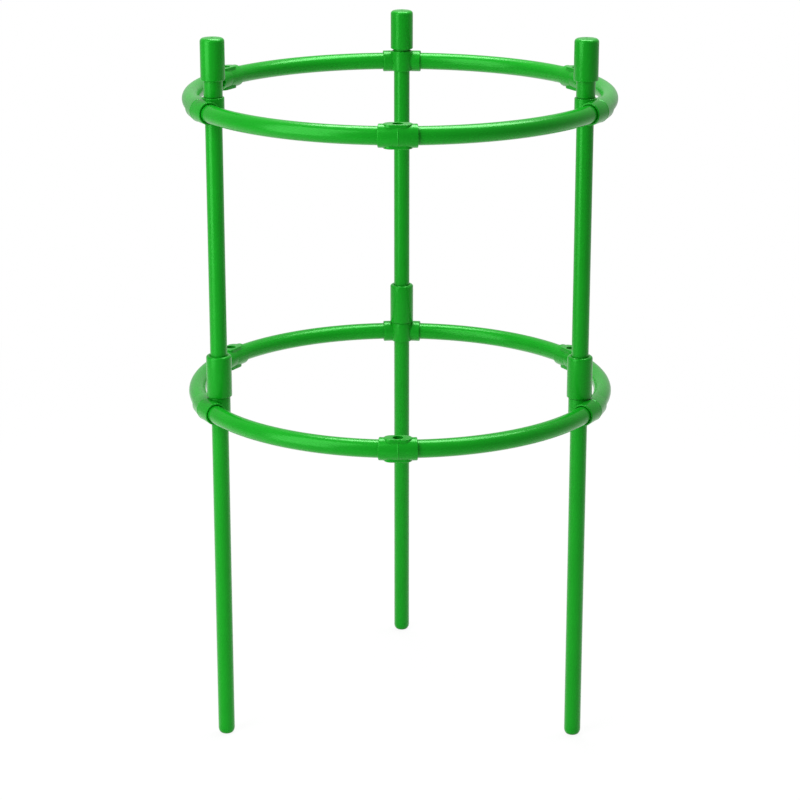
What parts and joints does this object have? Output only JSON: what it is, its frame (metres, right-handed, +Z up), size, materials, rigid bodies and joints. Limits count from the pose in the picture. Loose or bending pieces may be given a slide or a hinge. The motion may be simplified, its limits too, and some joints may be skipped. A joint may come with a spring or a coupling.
{
  "type": "plant support ring stake",
  "caption": "Green plastic plant support: stacked tube rings, plugged together with socket fittings, that slide on upright stakes joined by couplers and topped with push-on caps.",
  "frame": {"origin": "on the ground, under the middle of the rings", "axes": "+Z up along the stakes, -Y towards the front joiners, +X to the right seen from the front"},
  "size_m": [0.2564, 0.2603, 0.4293],
  "materials": {
    "tube_green": "semi-gloss moulded",
    "fitting_green": "semi-gloss moulded"
  },
  "bodies": {
    "lower_stakes": {"lower_stake_back": "tube_green", "lower_stake_left": "tube_green", "lower_stake_right": "tube_green", "coupler_back": "fitting_green", "coupler_left": "fitting_green", "coupler_right": "fitting_green"},
    "lower_ring": {"lower_ring_arc_back_left": "tube_green", "lower_ring_arc_left": "tube_green", "lower_ring_arc_front_left": "tube_green", "lower_ring_arc_front_right": "tube_green", "lower_ring_arc_right": "tube_green", "lower_ring_arc_back_right": "tube_green", "lower_ring_hub_back": "fitting_green", "lower_ring_hub_left": "fitting_green", "lower_ring_hub_right": "fitting_green", "lower_ring_joiner_left": "fitting_green", "lower_ring_joiner_front": "fitting_green", "lower_ring_joiner_right": "fitting_green"},
    "upper_ring": {"upper_ring_arc_back_left": "tube_green", "upper_ring_arc_left": "tube_green", "upper_ring_arc_front_left": "tube_green", "upper_ring_arc_front_right": "tube_green", "upper_ring_arc_right": "tube_green", "upper_ring_arc_back_right": "tube_green", "upper_ring_hub_back": "fitting_green", "upper_ring_hub_left": "fitting_green", "upper_ring_hub_right": "fitting_green", "upper_ring_joiner_left": "fitting_green", "upper_ring_joiner_front": "fitting_green", "upper_ring_joiner_right": "fitting_green"},
    "upper_stake_back": {"upper_stake_back": "tube_green"},
    "upper_stake_left": {"upper_stake_left": "tube_green"},
    "upper_stake_right": {"upper_stake_right": "tube_green"},
    "cap_back": {"cap_back": "fitting_green"},
    "cap_left": {"cap_left": "fitting_green"},
    "cap_right": {"cap_right": "fitting_green"}
  },
  "joints": [
    {"name": "lower_ring_slide", "type": "slide", "parent": "lower_stakes", "child": "lower_ring", "axis": [0, 0, 1], "range_m": [-0.2, 0]},
    {"name": "upper_ring_slide", "type": "slide", "parent": "lower_stakes", "child": "upper_ring", "axis": [0, 0, 1], "range_m": [-0.139, 0]},
    {"name": "upper_stake_back_lift", "type": "slide", "parent": "lower_stakes", "child": "upper_stake_back", "axis": [0, 0, 1], "range_m": [0, 0.03]},
    {"name": "upper_stake_left_lift", "type": "slide", "parent": "lower_stakes", "child": "upper_stake_left", "axis": [0, 0, 1], "range_m": [0, 0.03]},
    {"name": "upper_stake_right_lift", "type": "slide", "parent": "lower_stakes", "child": "upper_stake_right", "axis": [0, 0, 1], "range_m": [0, 0.03]},
    {"name": "cap_back_pull", "type": "slide", "parent": "upper_stake_back", "child": "cap_back", "axis": [0, 0, 1], "range_m": [0, 0.03]},
    {"name": "cap_left_pull", "type": "slide", "parent": "upper_stake_left", "child": "cap_left", "axis": [0, 0, 1], "range_m": [-0.008, 0.022]},
    {"name": "cap_right_pull", "type": "slide", "parent": "upper_stake_right", "child": "cap_right", "axis": [0, 0, 1], "range_m": [-0.008, 0.022]}
  ]
}
